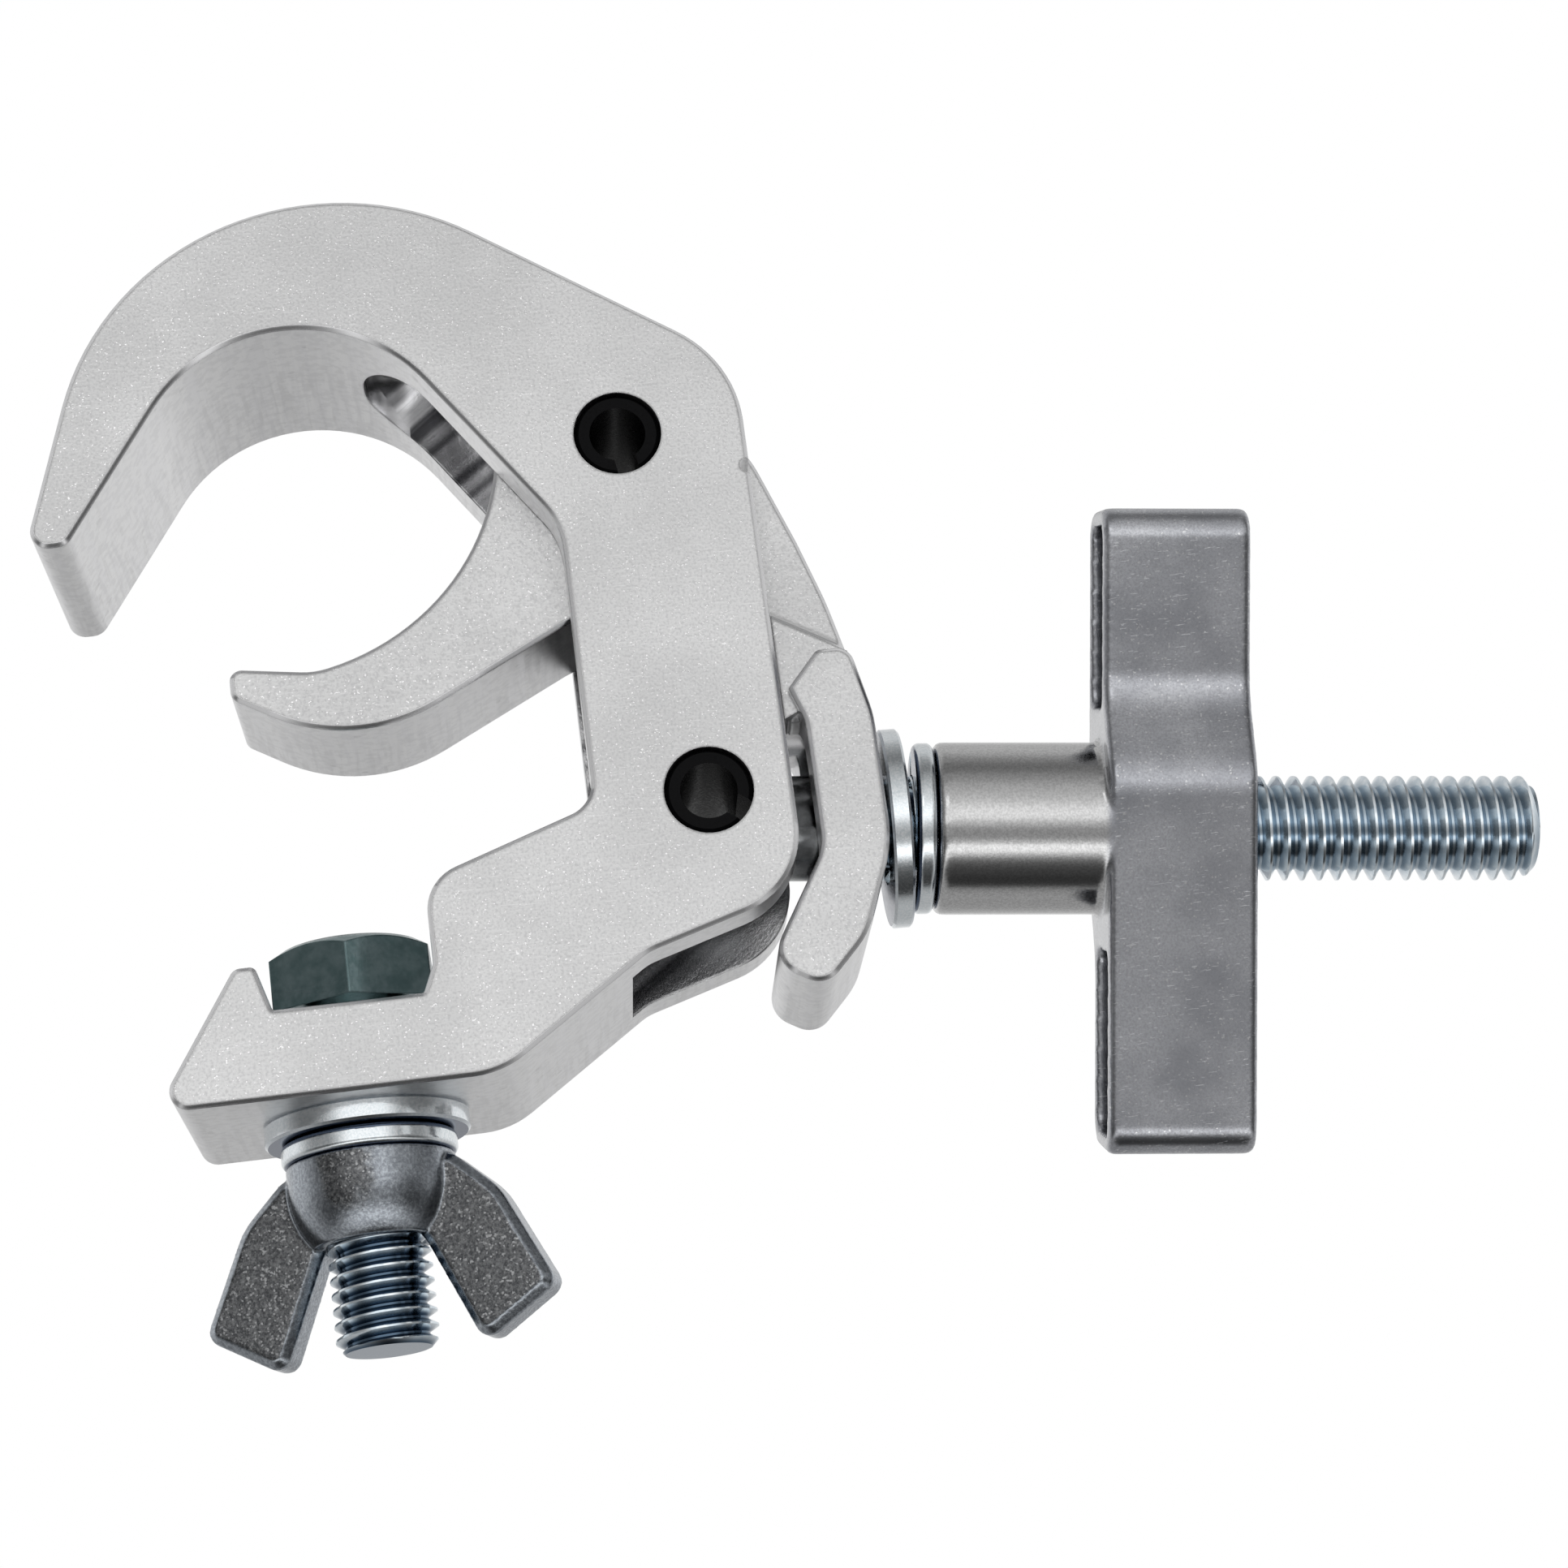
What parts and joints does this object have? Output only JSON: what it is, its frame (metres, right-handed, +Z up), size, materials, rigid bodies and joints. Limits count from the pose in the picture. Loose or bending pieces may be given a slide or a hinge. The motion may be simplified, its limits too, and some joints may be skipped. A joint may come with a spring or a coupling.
{
  "type": "pipe clamp",
  "caption": "Aluminium hook clamp for stage tube: hinged jaw closed by a swing bolt with a wing knob, and a mounting bolt with wing nut under the foot.",
  "frame": {"origin": "centre of a seated 48.3 mm tube, midway between the hook's side faces", "axes": "+Y along the tube, +Z up, +X from the open side of the hook towards the spine and the wing knob; the mounting bolt's axis is the Z axis; jaw closed"},
  "size_m": [0.1755, 0.032, 0.138],
  "materials": {
    "body_casting": "light grey, lightly blasted satin with bright thin edges",
    "pin_steel": "black oxide, satin",
    "zinc_steel": "bright zinc plate, slightly blue",
    "head_zinc": "dull zinc plate, dark",
    "knob_casting": "tumbled, polished casting",
    "nut_casting": "zinc plated casting, rough and dark with bright rims"
  },
  "bodies": {
    "hook": {"hook_body": "body_casting", "jaw_pivot_pin": "pin_steel", "bolt_pivot_pin": "pin_steel", "mounting_bolt": "head_zinc"},
    "jaw": {"clamp_jaw": "body_casting"},
    "swing": {"swing_bolt": "zinc_steel"},
    "knob_washers": {"swing_flat_washer": "zinc_steel", "swing_spring_washer": "zinc_steel"},
    "knob": {"wing_knob": "knob_casting"},
    "nut_washers": {"mounting_flat_washer": "zinc_steel", "mounting_spring_washer": "zinc_steel"},
    "nut": {"wing_nut": "nut_casting"}
  },
  "joints": [
    {"name": "jaw_pivot", "type": "hinge", "parent": "hook", "child": "jaw", "pos_m": [0.0384, 0, 0.0094], "axis": [0, -1, 0], "range_deg": [0, 30]},
    {"name": "bolt_swing", "type": "hinge", "parent": "hook", "child": "swing", "pos_m": [0.0438, 0, -0.0362], "axis": [0, -1, 0], "range_deg": [0, 29.4]},
    {"name": "knob_travel", "type": "slide", "parent": "swing", "child": "knob_washers", "axis": [0.9932, 0, -0.1163], "range_m": [0, 0.02381]},
    {"name": "knob_turn", "type": "hinge", "parent": "knob_washers", "child": "knob", "pos_m": [0.09346, 0, -0.04202], "axis": [0.9932, 0, -0.1163], "range_deg": [0, 4048]},
    {"name": "nut_travel", "type": "slide", "parent": "hook", "child": "nut_washers", "axis": [0, 0, -1], "range_m": [0, 0.0105]},
    {"name": "nut_turn", "type": "hinge", "parent": "nut_washers", "child": "nut", "pos_m": [0, 0, -0.077], "axis": [0, 0, -1], "range_deg": [0, 2160]}
  ],
  "couplings": [
    {"joint": "jaw_pivot", "follows": "knob_turn", "ratio": 0.007411},
    {"joint": "bolt_swing", "follows": "knob_turn", "ratio": 0.0072627},
    {"joint": "knob_travel", "follows": "knob_turn", "m_per_rad": 0.00033693},
    {"joint": "nut_travel", "follows": "nut_turn", "m_per_rad": 0.00027852}
  ]
}
